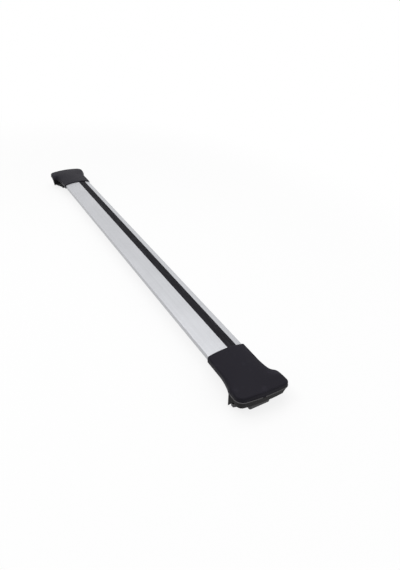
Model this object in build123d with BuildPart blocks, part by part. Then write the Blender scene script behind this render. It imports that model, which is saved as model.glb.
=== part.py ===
from build123d import *
import os
from math import radians, sqrt, tan

# Roof rack crossbar: a crowned aluminium bar with a rubber strip, carried by two feet that clamp on raised
# side rails. Millimetres. X runs along the bar, Y across it with the strip towards +Y, and Z up.
# The origin lies under the middle of the bar, on the level that the claws stand on.
# The feet are one design: each foot piece is made at the +X end and turned half round for the other end, so the
# tight shoulder of a foot lies on the +Y side at the +X end and on the -Y side at the other.

# Bar
exposed_length = 920.0  # bar between the two feet
bar_insert = 42.0  # bar inside each foot
bar_underside = 22.0  # above the claw tips
bar_width = 75.6
bar_depth = 23.0  # crown to underside
crown_rise = 5.0  # of the top above its long edges
side_height = 12.0  # flat side faces
side_lean = 0.8  # the sides draw in by this towards their lower edge
belly_width = 52.0  # flat of the underside
bar_wall = 2.2
long_edge_radius = 1.5
low_edge_radius = 4.0
web_offset = -17.0  # inner web, across the bar
web_thickness = 2.0

# Strip slot in the top of the bar
slot_offset = 14.6  # across the bar
strip_width = 20.0
strip_seat_depth = 4.0  # below the crown
slot_lip = 2.0
slot_throat = 11.0
slot_width = 23.0
slot_depth = 8.0
slot_wall = 2.0
strip_fit = 0.15
strip_barb = 1.3  # how far each barb reaches under its lip
strip_barb_depth = 3.0
strip_groove_count = 5
strip_groove_width = 1.3
strip_groove_depth = 0.5

# Fixing channel in the underside of the bar
channel_throat = 8.0
channel_width = 16.0
channel_depth = 4.4

# Bar end plug
plug_plate = 2.0
plug_spigot = 8.0
plug_fit = 0.2

# Gaps between pieces
bar_gap = 0.4  # between the bar and the cover that wraps it
part_gap = 0.3  # between pieces that move or lift off

# Mouth for the rail, between the claw's pad and the jaw's pad
mouth_width = 39.7
jaw_close = 10.0  # travel inwards
jaw_open = 5.0  # travel outwards

# Foot, seen from above: a straight neck, then on each side a slow flare, a shoulder and a bulge, and a bowed
# outer end. The +Y side has a tight shoulder, and the -Y side an easy one.
neck_length = 45.0
neck_corner_radius = 4.0
flare_angle = 16.0  # that the flare turns outwards by
shoulder_lead = 3.0  # the shoulders end this far inwards of the tray
tight_shoulder_angle = 60.0  # that the shoulder ends at
tight_shoulder_length = 7.0
tight_bulge_length = 10.0
tight_setback = 1.7  # of the outer corner from the outer end
tight_corner_radius = 11.0
easy_shoulder_angle = 24.0
easy_shoulder_length = 5.0
easy_bulge_length = 10.0
easy_setback = 7.0
easy_corner_radius = 17.5
end_length = 33.5  # past the tight bulge

# Foot cover
cover_wall = 2.6  # over the bar
side_wall = 2.3  # beside it
ridge_flat = 50.0  # the ridge is level this far, then falls towards the outer end
ridge_fall = 4.5
cover_edge_radius = 3.0
rim_bead = 0.7  # raised lip along the parting line
rim_bead_height = 1.6
parting_rise = 5.0  # of the parting line round the outer end, above the foot of the bar's sides
skirt_rise = 2.0  # of the neck's lower edge, above the foot of the bar's sides
skirt_slope = 9.0  # length of the slope between them
skirt_clear = 1.0
notch_width = 6.0
notch_height = 1.6
hook_clear = 2.7  # outwards of the jaw's bay
hook_length = 7.0
hook_offset = 8.0  # beside the boss's ears
hook_thickness = 2.5
hook_barb = 1.5
hook_lip = 2.5

# Foot base
tray_lead = 7.0  # the tray starts this far inwards of the jaw's hook plate
tray_depth = 20.0  # below the parting line
tray_wall = 3.0
tray_taper = 18.0
tray_rake = 4.0  # its inner end leans outwards by this
tray_edge_radius = 2.0
roof_drop = 2.0  # from the parting line to the plate over the rail
roof_thickness = 3.5
roof_margin = 3.0  # beside the jaw
roof_setback = 6.0  # inwards of the foot's outer end
cradle_floor = 5.0
cradle_start = 0.6
stop_wall = 3.0
claw_half_width = 18.0
claw_thickness = 7.0
claw_lip = 9.5
lip_height = 4.5
lip_edge = 3.2
lip_edge_radius = 1.5
cheek_inset = 1.2
cheek_thickness = 3.0
cheek_setback = 1.5
cheek_rake = 0.5
cheek_length = 19.0
long_cheek_drop = 31.5  # of its tip below the parting line, on the easy side
short_cheek_drop = 21.0  # on the tight side
cheek_back = 4.0  # of its outer edge below the parting line

# Clamp: a screw draws the moving jaw in along the bar
screw_depth = 12.0  # below the cover's ridge
screw_diameter = 6.0
screw_length = 45.0
screw_head_diameter = 10.0
screw_head_height = 6.0
screw_key = 5.0
screw_fit = 0.08  # radial, in the jaw and in the nut
screw_clear = 0.5  # radial, in the nut block
thread_spare = 3.3  # past the nut when the jaw is open
jaw_half_width = 31.0
jaw_plate = 6.0
jaw_lip = 11.0
toe_heel = 5.0  # level of the toe's upright side
tail_setback = 9.0  # inwards of the foot's outer end
tail_half_width = 22.0
tail_bottom = 2.0
tail_corner_radius = 4.0
boss_half_width = 13.0
boss_setback = 1.0
boss_thickness = 7.0
boss_rise = 5.5  # above the screw
boss_root = 3.0  # below the hook plate's top
ear_reach = 3.0
washer_thickness = 1.6
washer_diameter = 12.0
seat_gap = 0.1
ring_thickness = 1.0
ring_diameter = 10.0
ring_mouth = 4.2
ring_groove = 5.2
ring_fit = 0.05
nut_width = 10.0
nut_thickness = 5.0
nut_fit = 0.1
nut_block_wall = 4.0
nut_block_half_width = 10.0
nut_block_rise = 7.0  # above the screw

# Rubber pads
pad_thickness = 3.0
pad_corner_radius = 3.0
pad_chamfer = 0.6
pad_inset = 2.0  # inside the sides of what carries it
pad_bottom = 6.0
pad_top_gap = 0.5  # below the saddle pad
saddle_overhang = 1.0  # outside the jaw's sides
saddle_clear = 5.2  # inwards of the closed jaw
saddle_groove_count = 4
saddle_groove_width = 2.0
saddle_groove_depth = 0.8

# Screws that hold the bar in the foot
bar_screw_diameter = 5.0
bar_screw_head = 9.0
bar_screw_head_height = 3.0
bar_screw_key = 4.0
bar_screw_fit = 0.05
bar_screw_inset = 8.0  # from the plate's ends
plate_start = 6.0
plate_end_gap = 2.0  # inwards of the bar's end
plate_fit = 0.3
plate_headroom = 0.4
chamfer_share = 0.12  # of a screw's diameter

# Levels and places that follow from the sizes above
neck_x = exposed_length / 2
half_bar = neck_x + bar_insert
bar_top = bar_underside + bar_depth
edge_level = bar_top - crown_rise
side_foot = edge_level - side_height
crown_radius = ((bar_width / 2) ** 2 + crown_rise**2) / (2 * crown_rise)
strip_seat = bar_top - strip_seat_depth
lip_underside = strip_seat - slot_lip
slot_floor = lip_underside - slot_depth
housing_low = slot_floor - slot_wall
channel_floor = bar_underside + bar_wall
channel_roof = channel_floor + channel_depth

ridge_level = bar_top + bar_gap + cover_wall
parting_level = side_foot + parting_rise
skirt_level = side_foot + skirt_rise
rim_level = parting_level - part_gap
roof_top = parting_level - roof_drop
roof_level = roof_top - roof_thickness
tray_bottom = parting_level - tray_depth
cradle_bottom = bar_underside - cradle_floor
saddle_bottom = roof_level - pad_thickness
pad_height = saddle_bottom - pad_top_gap - pad_bottom
screw_level = ridge_level - screw_depth

stop_start = bar_insert + plug_plate + part_gap
claw_face = stop_start + stop_wall
jaw_start = claw_face + mouth_width + 2 * pad_thickness
jaw_back = jaw_start + jaw_plate
bay_end = jaw_back + jaw_open + part_gap
tray_start = jaw_start - tray_lead
shoulder_end = tray_start - shoulder_lead
foot_length = shoulder_end + tight_bulge_length + end_length
boss_start = jaw_start + boss_setback
boss_end = boss_start + boss_thickness
head_seat = boss_end + washer_thickness + seat_gap
ring_start = boss_start - seat_gap - ring_thickness
boss_slot_start = ring_start - jaw_close - 2 * ring_thickness
boss_slot_length = head_seat + screw_head_height + jaw_open + 2 * part_gap - boss_slot_start
nut_start = head_seat - screw_length + jaw_open + thread_spare
saddle_start = claw_face + pad_thickness
saddle_length = jaw_start - jaw_close - saddle_clear - saddle_start
plate_length = bar_insert - plate_end_gap - plate_start
plate_thickness = channel_depth - plate_headroom
bar_screw_places = (plate_start + bar_screw_inset, plate_start + plate_length - bar_screw_inset)

neck_width = bar_width + 2 * (bar_gap + side_wall)


def flank_widths(shoulder_angle, shoulder_length, bulge_length):
    """How far one side of the foot lies from the middle at the ends of its flare, shoulder and bulge."""
    flare_length = shoulder_end - shoulder_length - neck_length
    flare_width = neck_width / 2 + flare_length * tan(radians(flare_angle / 2))
    shoulder_width = flare_width + shoulder_length * tan(radians((flare_angle + shoulder_angle) / 2))
    return flare_width, shoulder_width, shoulder_width + bulge_length * tan(radians(shoulder_angle / 2))


tight_widths = flank_widths(tight_shoulder_angle, tight_shoulder_length, tight_bulge_length)
easy_widths = flank_widths(easy_shoulder_angle, easy_shoulder_length, easy_bulge_length)
tight_width = tight_widths[-1]
easy_width = easy_widths[-1]
roof_half_width = jaw_half_width + roof_margin
ear_half_width = boss_half_width + ear_reach
hook_start = bay_end + hook_clear
hook_inner = ear_half_width + hook_offset
hook_outer = hook_inner + hook_thickness
cheek_depth = cheek_inset + cheek_thickness
cheek_start = tray_start + cheek_setback
toe_depth = cheek_depth + part_gap
reach = 3 * tight_width  # well past the foot on every side


def level(height):
    """A level plane at a height, with its origin at the neck of the +X foot."""
    return Plane((neck_x, 0, height))


def section(distance):
    """A plane across the bar, a distance outwards from the neck: its axes are Y and Z."""
    return Plane((neck_x + distance, 0, 0), x_dir=(0, 1, 0), z_dir=(1, 0, 0))


def profile(offset=0.0):
    """A plane along the bar, an offset towards -Y: its axes run outwards from the neck and up."""
    return Plane((neck_x, -offset, 0), x_dir=(1, 0, 0), z_dir=(0, -1, 0))


# Outline of the bar, across it and up
with BuildSketch() as bar_outline:
    with BuildLine():
        ThreePointArc((-bar_width / 2, edge_level), (0, bar_top), (bar_width / 2, edge_level))
        Polyline(
            (bar_width / 2, edge_level),
            (bar_width / 2 - side_lean, side_foot),
            (belly_width / 2, bar_underside),
            (-belly_width / 2, bar_underside),
            (side_lean - bar_width / 2, side_foot),
            (-bar_width / 2, edge_level),
        )
    make_face()
    fillet(bar_outline.vertices().group_by(Axis.Y)[:-1], low_edge_radius)
    fillet(bar_outline.vertices().group_by(Axis.Y)[-1], long_edge_radius)

# Bar: a hollow extrusion with a web, a strip slot and a fixing channel
with BuildSketch() as bar_section:
    add(bar_outline.sketch)
    offset(amount=-bar_wall, mode=Mode.SUBTRACT)
    with Locations((slot_offset, housing_low)):
        Rectangle(slot_width + 2 * slot_wall, bar_depth, align=(Align.CENTER, Align.MIN))
    with Locations((0, bar_underside)):
        Rectangle(
            channel_width + 2 * slot_wall,
            channel_roof + slot_wall - bar_underside,
            align=(Align.CENTER, Align.MIN),
        )
    with Locations((web_offset, bar_underside)):
        Rectangle(web_thickness, bar_depth, align=(Align.CENTER, Align.MIN))
    add(bar_outline.sketch, mode=Mode.INTERSECT)
    with Locations((slot_offset, strip_seat)):
        Rectangle(strip_width, bar_depth, align=(Align.CENTER, Align.MIN), mode=Mode.SUBTRACT)
        Rectangle(slot_throat, 2 * slot_lip, mode=Mode.SUBTRACT)
    with Locations((slot_offset, slot_floor)):
        Rectangle(slot_width, slot_depth, align=(Align.CENTER, Align.MIN), mode=Mode.SUBTRACT)
    with Locations((0, channel_floor)):
        Rectangle(channel_width, channel_depth, align=(Align.CENTER, Align.MIN), mode=Mode.SUBTRACT)
        Rectangle(channel_throat, 2 * bar_wall, mode=Mode.SUBTRACT)

with BuildPart() as bar_profile:
    with BuildSketch(section(bar_insert)):
        add(bar_section.sketch)
    extrude(amount=-2 * half_bar)

# Rubber strip: flush with the crown, ribbed on top, held by barbs under the slot's lips
with BuildSketch() as strip_stem:
    with BuildLine():
        stem = slot_throat / 2 - strip_fit
        Polyline(
            (-stem, strip_seat),
            (-stem, lip_underside - strip_fit),
            (-stem - strip_barb, lip_underside - strip_fit),
            (-stem, lip_underside - strip_barb_depth),
            (stem, lip_underside - strip_barb_depth),
            (stem + strip_barb, lip_underside - strip_fit),
            (stem, lip_underside - strip_fit),
            (stem, strip_seat),
            close=True,
        )
    make_face()

with BuildPart() as rubber_strip:
    with BuildSketch(section(bar_insert)):
        add(bar_outline.sketch)
        with Locations((slot_offset, strip_seat)):
            Rectangle(
                strip_width - 2 * strip_fit,
                strip_seat_depth,
                align=(Align.CENTER, Align.MIN),
                mode=Mode.INTERSECT,
            )
        groove_pitch = strip_width / (strip_groove_count + 1)
        for number in range(strip_groove_count):
            across = slot_offset + (number + 1) * groove_pitch - strip_width / 2
            surface = bar_top - crown_radius + sqrt(crown_radius**2 - across**2)
            with Locations((across, surface)):
                Rectangle(strip_groove_width, 2 * strip_groove_depth, mode=Mode.SUBTRACT)
        with Locations((slot_offset, 0)):
            add(strip_stem.sketch)
    extrude(amount=-2 * half_bar)

# Plan of the foot, from the neck outwards
with BuildSketch() as foot_plan:
    flanks = (
        (1, tight_widths, tight_shoulder_length, tight_bulge_length, tight_setback),
        (-1, easy_widths, easy_shoulder_length, easy_bulge_length, easy_setback),
    )
    with BuildLine():
        Line((0, -neck_width / 2), (0, neck_width / 2))
        for side, widths, shoulder_length, bulge_length, setback in flanks:
            neck_end = (neck_length, side * neck_width / 2)
            flare_end = (shoulder_end - shoulder_length, side * widths[0])
            bulge_start = (shoulder_end, side * widths[1])
            bulge_end = (shoulder_end + bulge_length, side * widths[2])
            Line((0, side * neck_width / 2), neck_end)
            flare = TangentArc(neck_end, flare_end, tangent=(1, 0))
            shoulder = TangentArc(flare_end, bulge_start, tangent=flare % 1)
            TangentArc(bulge_start, bulge_end, tangent=shoulder % 1)
            Line(bulge_end, (foot_length - setback, side * widths[2]))
        ThreePointArc(
            (foot_length - easy_setback, -easy_width),
            (foot_length, (tight_width - easy_width) / 2),
            (foot_length - tight_setback, tight_width),
        )
    make_face()
    fillet(foot_plan.vertices().group_by(Axis.X)[0], neck_corner_radius)
    fillet(foot_plan.vertices().group_by(Axis.Y)[0].sort_by(Axis.X)[-1], easy_corner_radius)
    fillet(foot_plan.vertices().group_by(Axis.Y)[-1].sort_by(Axis.X)[-1], tight_corner_radius)


def foot_form(inset, side_inset):
    """The foot's crowned form down to the claw level, drawn in by an inset at the top and one at the sides."""
    top = ridge_level - inset
    radius = crown_radius + ridge_level - bar_top - inset
    shoulder = top - radius + sqrt(radius**2 - reach**2 / 4)
    with BuildPart() as form:
        with BuildLine(profile()) as ridge:
            Line((0, top), (ridge_flat, top))
            fall_end = (foot_length + cover_wall, top - ridge_fall)
            fall = TangentArc((ridge_flat, top), fall_end, tangent=(1, 0))
            Line(fall @ 1, (fall @ 1) + (fall % 1) * ridge_level)
        with BuildSketch(section(0)):
            with BuildLine():
                ThreePointArc((-reach / 2, shoulder), (0, top), (reach / 2, shoulder))
                Polyline((reach / 2, shoulder), (reach / 2, 0), (-reach / 2, 0), (-reach / 2, shoulder))
            make_face()
        sweep(path=ridge.wires()[0])
        with BuildSketch(level(0)):
            add(foot_plan.sketch)
            if side_inset > 0:
                offset(amount=-side_inset)
        extrude(amount=ridge_level, mode=Mode.INTERSECT)
    return form.part


outer_form = foot_form(0.0, 0.0)
middle_form = foot_form(cover_wall / 2, side_wall / 2)
inner_form = foot_form(cover_wall, side_wall)

# Outer form with its top edge rounded
with BuildPart() as rounded_form:
    add(outer_form)
    top_faces = rounded_form.faces().filter_by(lambda f: f.normal_at().Z > 0.9)
    top_edges = [edge for face in top_faces for edge in face.edges()]
    rim_edges = [edge for edge in top_edges if len([e for e in top_edges if e.is_same(edge)]) == 1]
    fillet(rim_edges, cover_edge_radius)

# Catch hooks, rooted in the middle of the cover's wall, which snap under the base
with BuildPart() as cover_hooks:
    with BuildSketch(section(hook_start)):
        with BuildLine():
            Polyline(
                (hook_inner, ridge_level),
                (hook_inner, roof_level - part_gap - hook_lip),
                (hook_outer, roof_level - part_gap - hook_lip),
                (hook_outer + hook_barb, roof_level - part_gap),
                (hook_outer, roof_level - part_gap),
                (hook_outer, ridge_level),
                close=True,
            )
        make_face()
        mirror(about=Plane.YZ)
    extrude(amount=hook_length)
    add(middle_form, mode=Mode.INTERSECT)

# Middle of the cover's wall, seen from above
with BuildSketch() as wall_middle:
    add(foot_plan.sketch)
    offset(amount=-side_wall / 2)

# Foot cover: a thin moulded shell over the bar's end and the clamp, with a lip along its parting line
with BuildPart() as foot_cover:
    add(rounded_form.part)
    add(inner_form, mode=Mode.SUBTRACT)
    with BuildSketch(section(-cover_wall)):
        add(bar_outline.sketch)
        offset(amount=part_gap)
    extrude(amount=cover_wall + neck_corner_radius, mode=Mode.SUBTRACT)
    with BuildSketch(profile()):
        with BuildLine():
            Polyline(
                (-reach, -reach),
                (-reach, skirt_level),
                (tray_start - skirt_clear - skirt_slope, skirt_level),
                (tray_start - skirt_clear, parting_level),
                (foot_length + reach, parting_level),
                (foot_length + reach, -reach),
                close=True,
            )
        make_face()
    extrude(amount=reach, both=True, mode=Mode.SUBTRACT)
    with BuildSketch(level(parting_level)):
        add(foot_plan.sketch)
        offset(amount=rim_bead)
        with Locations((tray_start, 0)):
            Rectangle(reach, 2 * reach, align=(Align.MIN, Align.CENTER), mode=Mode.INTERSECT)
        add(wall_middle.sketch, mode=Mode.SUBTRACT)
    extrude(amount=rim_bead_height)
    with BuildSketch(section(foot_length - 2 * cover_wall)):
        with Locations((0, parting_level)):
            Rectangle(notch_width, 2 * notch_height)
    extrude(amount=reach, mode=Mode.SUBTRACT)
    add(cover_hooks.part)


def tray_form(inset):
    """The tapered form under the foot's outer end, drawn in by an inset."""
    with BuildPart() as form:
        with BuildSketch(level(rim_level)):
            add(foot_plan.sketch)
            with Locations((neck_length, 0)):
                Rectangle(reach, reach, align=(Align.MIN, Align.CENTER), mode=Mode.INTERSECT)
            if inset > 0:
                offset(amount=-inset)
        extrude(amount=tray_bottom + inset - rim_level, taper=tray_taper)
        with BuildSketch(profile()):
            with BuildLine():
                Polyline(
                    (0, rim_level),
                    (tray_start + inset, rim_level),
                    (tray_start + inset + tray_rake, tray_bottom),
                    (0, tray_bottom),
                    close=True,
                )
            make_face()
        extrude(amount=reach, both=True, mode=Mode.SUBTRACT)
    return form.part


tray_outer = tray_form(0.0)
tray_inner = tray_form(tray_wall)

# Foot base: cradle for the bar, inner claw, plate over the rail, nut block and the tray of the outer end
with BuildPart() as foot_base:
    add(tray_outer)
    fillet(foot_base.edges().group_by(Axis.Z)[0], tray_edge_radius)
    add(tray_inner, mode=Mode.SUBTRACT)
    for side, width, cheek_drop in ((1, easy_width, long_cheek_drop), (-1, tight_width, short_cheek_drop)):
        with BuildSketch(profile(side * (width - cheek_depth))):
            with BuildLine():
                Polyline(
                    (cheek_start, rim_level),
                    (cheek_start + cheek_rake, parting_level - cheek_drop),
                    (cheek_start + cheek_length, parting_level - cheek_back),
                    (cheek_start + cheek_length, rim_level),
                    close=True,
                )
            make_face()
        extrude(amount=side * cheek_thickness)
    with BuildSketch(level(roof_level)):
        with Locations((stop_start, 0)):
            roof_length = foot_length - roof_setback - stop_start
            Rectangle(roof_length, 2 * roof_half_width, align=(Align.MIN, Align.CENTER))
    extrude(amount=roof_thickness)
    with BuildSketch(section(cradle_start)):
        with Locations((0, cradle_bottom)):
            Rectangle(belly_width, roof_top - cradle_bottom, align=(Align.CENTER, Align.MIN))
    extrude(amount=claw_face - cradle_start)
    with BuildSketch(section(cradle_start)):
        add(bar_outline.sketch)
        offset(amount=part_gap / 2)
    extrude(amount=stop_start - cradle_start, mode=Mode.SUBTRACT)
    with BuildSketch(profile()) as claw_profile:
        with BuildLine():
            Polyline(
                (claw_face - claw_thickness, cradle_bottom),
                (claw_face - claw_thickness, 0),
                (claw_face + claw_lip, 0),
                (claw_face + claw_lip, lip_edge),
                (claw_face, lip_height),
                (claw_face, cradle_bottom),
                close=True,
            )
        make_face()
        fillet(claw_profile.vertices().group_by(Axis.Y)[1], lip_edge_radius)
    extrude(amount=claw_half_width, both=True)
    # Bay that the jaw's hook plate slides in, and the slot for its boss and ears
    with BuildSketch(level(roof_level)):
        with Locations((tray_start, 0)):
            Rectangle(bay_end - tray_start, 2 * (jaw_half_width + part_gap), align=(Align.MIN, Align.CENTER))
    extrude(amount=-roof_level, mode=Mode.SUBTRACT)
    with BuildSketch(level(roof_level)):
        with Locations((boss_slot_start, 0)):
            Rectangle(boss_slot_length, 2 * (boss_half_width + part_gap), align=(Align.MIN, Align.CENTER))
    extrude(amount=screw_level - roof_level, mode=Mode.SUBTRACT)
    with BuildSketch(level(roof_top)):
        with Locations((boss_slot_start, 0)):
            Rectangle(boss_slot_length, 2 * (ear_half_width + part_gap), align=(Align.MIN, Align.CENTER))
    extrude(amount=screw_level - roof_top, mode=Mode.SUBTRACT)
    # Windows for the cover's hooks
    with BuildSketch(level(roof_level)):
        window_width = hook_thickness + hook_barb + 2 * part_gap
        for side in (-1, 1):
            with Locations((hook_start + hook_length / 2, side * (hook_inner + window_width / 2 - part_gap))):
                Rectangle(hook_length + 2 * part_gap, window_width)
    extrude(amount=roof_thickness, mode=Mode.SUBTRACT)
    # Nut block, with a pocket that is open at the top
    with BuildSketch(level(roof_top)):
        with Locations((nut_start + nut_thickness / 2, 0)):
            Rectangle(nut_thickness + 2 * nut_block_wall, 2 * nut_block_half_width)
    extrude(amount=screw_level + nut_block_rise - roof_top)
    with BuildSketch(level(screw_level - nut_width / sqrt(3) - nut_fit)):
        with Locations((nut_start + nut_thickness / 2, 0)):
            Rectangle(nut_thickness + 2 * nut_fit, nut_width + 2 * nut_fit)
    extrude(amount=reach, mode=Mode.SUBTRACT)
    with BuildSketch(section(nut_start - nut_block_wall)):
        with Locations((0, screw_level)):
            Circle(screw_diameter / 2 + screw_clear)
    extrude(amount=nut_thickness + 2 * nut_block_wall, mode=Mode.SUBTRACT)
    # Sunk holes for the bar's screws
    for place in bar_screw_places:
        with Locations(Plane((neck_x + place, 0, cradle_bottom), z_dir=(0, 0, -1))):
            CounterBoreHole(
                radius=bar_screw_diameter / 2 + part_gap,
                counter_bore_radius=bar_screw_head / 2 + part_gap,
                counter_bore_depth=bar_screw_head_height + part_gap,
                depth=cradle_floor,
            )

# Moving jaw: a hook plate under the rail's outer side with a wide toe, a tail below the tray and a screw boss
with BuildPart() as moving_jaw:
    with BuildSketch(profile()) as hook_profile:
        with BuildLine():
            Polyline(
                (jaw_start, roof_level - part_gap),
                (jaw_back, roof_level - part_gap),
                (jaw_back, 0),
                (jaw_start - jaw_lip, 0),
                (jaw_start - jaw_lip, lip_edge),
                (jaw_start, lip_height),
                close=True,
            )
        make_face()
        fillet(hook_profile.vertices().group_by(Axis.Y)[1], lip_edge_radius)
    extrude(amount=jaw_half_width, both=True)
    with BuildSketch(section(jaw_start)):
        with BuildLine():
            Polyline(
                (toe_depth - easy_width, tray_bottom - part_gap),
                (toe_depth - easy_width, toe_heel),
                (-jaw_half_width, 0),
                (jaw_half_width, 0),
                (tight_width - toe_depth, tray_bottom - part_gap),
                close=True,
            )
        make_face()
    extrude(amount=jaw_plate)
    with BuildSketch(profile()) as tail_profile:
        with Locations((jaw_start + jaw_plate / 2, tail_bottom)):
            tail_length = foot_length - tail_setback - jaw_start - jaw_plate / 2
            tail_height = tray_bottom - part_gap - tail_bottom
            Rectangle(tail_length, tail_height, align=(Align.MIN, Align.MIN))
        fillet(tail_profile.vertices().group_by(Axis.X)[-1].group_by(Axis.Y)[0], tail_corner_radius)
    extrude(amount=tail_half_width, both=True)
    fillet(moving_jaw.edges().filter_by(Axis.Z).group_by(Axis.X)[-1], tail_corner_radius)
    with BuildSketch(section(boss_start)):
        with Locations((0, screw_level + boss_rise)):
            boss_height = screw_level + boss_rise - roof_level + boss_root
            ear_height = screw_level + boss_rise - roof_top - part_gap
            Rectangle(2 * boss_half_width, boss_height, align=(Align.CENTER, Align.MAX))
            Rectangle(2 * ear_half_width, ear_height, align=(Align.CENTER, Align.MAX))
    extrude(amount=boss_thickness)
    with Locations(Plane((neck_x + boss_end, 0, screw_level), z_dir=(1, 0, 0))):
        Hole(radius=screw_diameter / 2 + screw_fit, depth=boss_thickness)

# Rubber pads that touch the rail
with BuildPart() as saddle_pad:
    with BuildSketch(level(saddle_bottom)):
        with Locations((saddle_start, 0)):
            Rectangle(saddle_length, 2 * (jaw_half_width + saddle_overhang), align=(Align.MIN, Align.CENTER))
    extrude(amount=pad_thickness)
    fillet(saddle_pad.edges().filter_by(Axis.Z), pad_corner_radius)
    with BuildSketch(level(saddle_bottom)):
        with Locations((saddle_start + saddle_length / 2, 0)):
            with GridLocations(saddle_length / saddle_groove_count, 1, saddle_groove_count, 1):
                Rectangle(saddle_groove_width, reach)
    extrude(amount=saddle_groove_depth, mode=Mode.SUBTRACT)

with BuildPart() as claw_pad:
    with BuildSketch(section(claw_face)) as claw_pad_face:
        with Locations((0, pad_bottom)):
            Rectangle(2 * (claw_half_width - pad_inset), pad_height, align=(Align.CENTER, Align.MIN))
        fillet(claw_pad_face.vertices(), pad_corner_radius)
    extrude(amount=pad_thickness)
    chamfer(claw_pad.faces().sort_by(Axis.X)[-1].edges(), pad_chamfer)

with BuildPart() as jaw_pad:
    with BuildSketch(section(jaw_start)) as jaw_pad_face:
        with Locations((0, pad_bottom)):
            Rectangle(2 * (jaw_half_width - pad_inset), pad_height, align=(Align.CENTER, Align.MIN))
        fillet(jaw_pad_face.vertices(), pad_corner_radius)
    extrude(amount=-pad_thickness)
    chamfer(jaw_pad.faces().sort_by(Axis.X)[0].edges(), pad_chamfer)

# Clamp screw, its washer, retaining ring and nut
with BuildPart() as clamp_bolt:
    with BuildSketch(section(head_seat)):
        with Locations((0, screw_level)):
            Circle(screw_head_diameter / 2)
    extrude(amount=screw_head_height)
    chamfer(clamp_bolt.edges().sort_by(Axis.X)[-1], chamfer_share * screw_diameter)
    with BuildSketch(section(head_seat)):
        with Locations((0, screw_level)):
            Circle(screw_diameter / 2)
    extrude(amount=-screw_length)
    chamfer(clamp_bolt.edges().sort_by(Axis.X)[0], chamfer_share * screw_diameter)
    with BuildSketch(section(head_seat + screw_head_height)):
        with Locations((0, screw_level)):
            RegularPolygon(screw_key / 2, 6, major_radius=False)
    extrude(amount=-screw_head_height / 2, mode=Mode.SUBTRACT)
    with BuildSketch(section(ring_start - ring_fit)):
        with Locations((0, screw_level)):
            Circle(screw_diameter)
            Circle(ring_groove / 2, mode=Mode.SUBTRACT)
    extrude(amount=ring_thickness + 2 * ring_fit, mode=Mode.SUBTRACT)

with BuildPart() as bolt_washer:
    with BuildSketch(section(boss_end)):
        with Locations((0, screw_level)):
            Circle(washer_diameter / 2)
            Circle(screw_diameter / 2 + screw_fit, mode=Mode.SUBTRACT)
    extrude(amount=washer_thickness)

with BuildPart() as bolt_clip:
    with BuildSketch(section(ring_start)):
        with Locations((0, screw_level)):
            Circle(ring_diameter / 2)
            Circle(ring_groove / 2 + ring_fit, mode=Mode.SUBTRACT)
            Rectangle(ring_mouth, ring_diameter, align=(Align.CENTER, Align.MIN), mode=Mode.SUBTRACT)
    extrude(amount=ring_thickness)

with BuildPart() as clamp_nut:
    with BuildSketch(section(nut_start)):
        with Locations((0, screw_level)):
            RegularPolygon(nut_width / 2, 6, major_radius=False, rotation=30)
            Circle(screw_diameter / 2 + screw_fit, mode=Mode.SUBTRACT)
    extrude(amount=nut_thickness)

# Plug in the end of the bar: a plate of the bar's outline with spigots in its chambers
with BuildPart() as bar_end_plug:
    with BuildSketch(section(bar_insert)):
        add(bar_outline.sketch)
    extrude(amount=plug_plate)
    with BuildSketch(section(bar_insert)):
        add(bar_outline.sketch)
        offset(amount=-bar_wall - plug_fit)
        with Locations((slot_offset, housing_low - plug_fit)):
            Rectangle(
                slot_width + 2 * slot_wall + 2 * plug_fit,
                bar_depth,
                align=(Align.CENTER, Align.MIN),
                mode=Mode.SUBTRACT,
            )
        with Locations((0, bar_underside)):
            Rectangle(
                channel_width + 2 * slot_wall + 2 * plug_fit,
                channel_roof + slot_wall + plug_fit - bar_underside,
                align=(Align.CENTER, Align.MIN),
                mode=Mode.SUBTRACT,
            )
        with Locations((web_offset, bar_underside)):
            Rectangle(
                web_thickness + 2 * plug_fit,
                bar_depth,
                align=(Align.CENTER, Align.MIN),
                mode=Mode.SUBTRACT,
            )
    extrude(amount=-plug_spigot)

# Plate in the bar's fixing channel, and the two screws that pull it down on the cradle
with BuildPart() as bar_clamp_plate:
    with BuildSketch(level(channel_floor)):
        with Locations((plate_start, 0)):
            Rectangle(plate_length, channel_width - 2 * plate_fit, align=(Align.MIN, Align.CENTER))
        with Locations(*[(place, 0) for place in bar_screw_places]):
            Circle(bar_screw_diameter / 2 + bar_screw_fit, mode=Mode.SUBTRACT)
    extrude(amount=plate_thickness)

with BuildPart() as bar_screws:
    screw_spots = [(place, 0) for place in bar_screw_places]
    screw_seat = cradle_bottom + bar_screw_head_height + part_gap
    with BuildSketch(level(screw_seat)):
        with Locations(*screw_spots):
            Circle(bar_screw_head / 2)
    extrude(amount=-bar_screw_head_height)
    chamfer(bar_screws.edges().group_by(Axis.Z)[0], chamfer_share * bar_screw_diameter)
    with BuildSketch(level(screw_seat)):
        with Locations(*screw_spots):
            Circle(bar_screw_diameter / 2)
    extrude(amount=channel_floor + plate_thickness - screw_seat)
    with BuildSketch(level(screw_seat - bar_screw_head_height)):
        with Locations(*screw_spots):
            RegularPolygon(bar_screw_key / 2, 6, major_radius=False)
    extrude(amount=bar_screw_head_height / 2, mode=Mode.SUBTRACT)

# Each piece is named and written out; the foot pieces once for each end of the bar
os.makedirs("parts", exist_ok=True)

bar_profile.part.label = "bar_profile"
export_step(bar_profile.part, "parts/bar_profile.step")
rubber_strip.part.label = "rubber_strip"
export_step(rubber_strip.part, "parts/rubber_strip.step")

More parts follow.
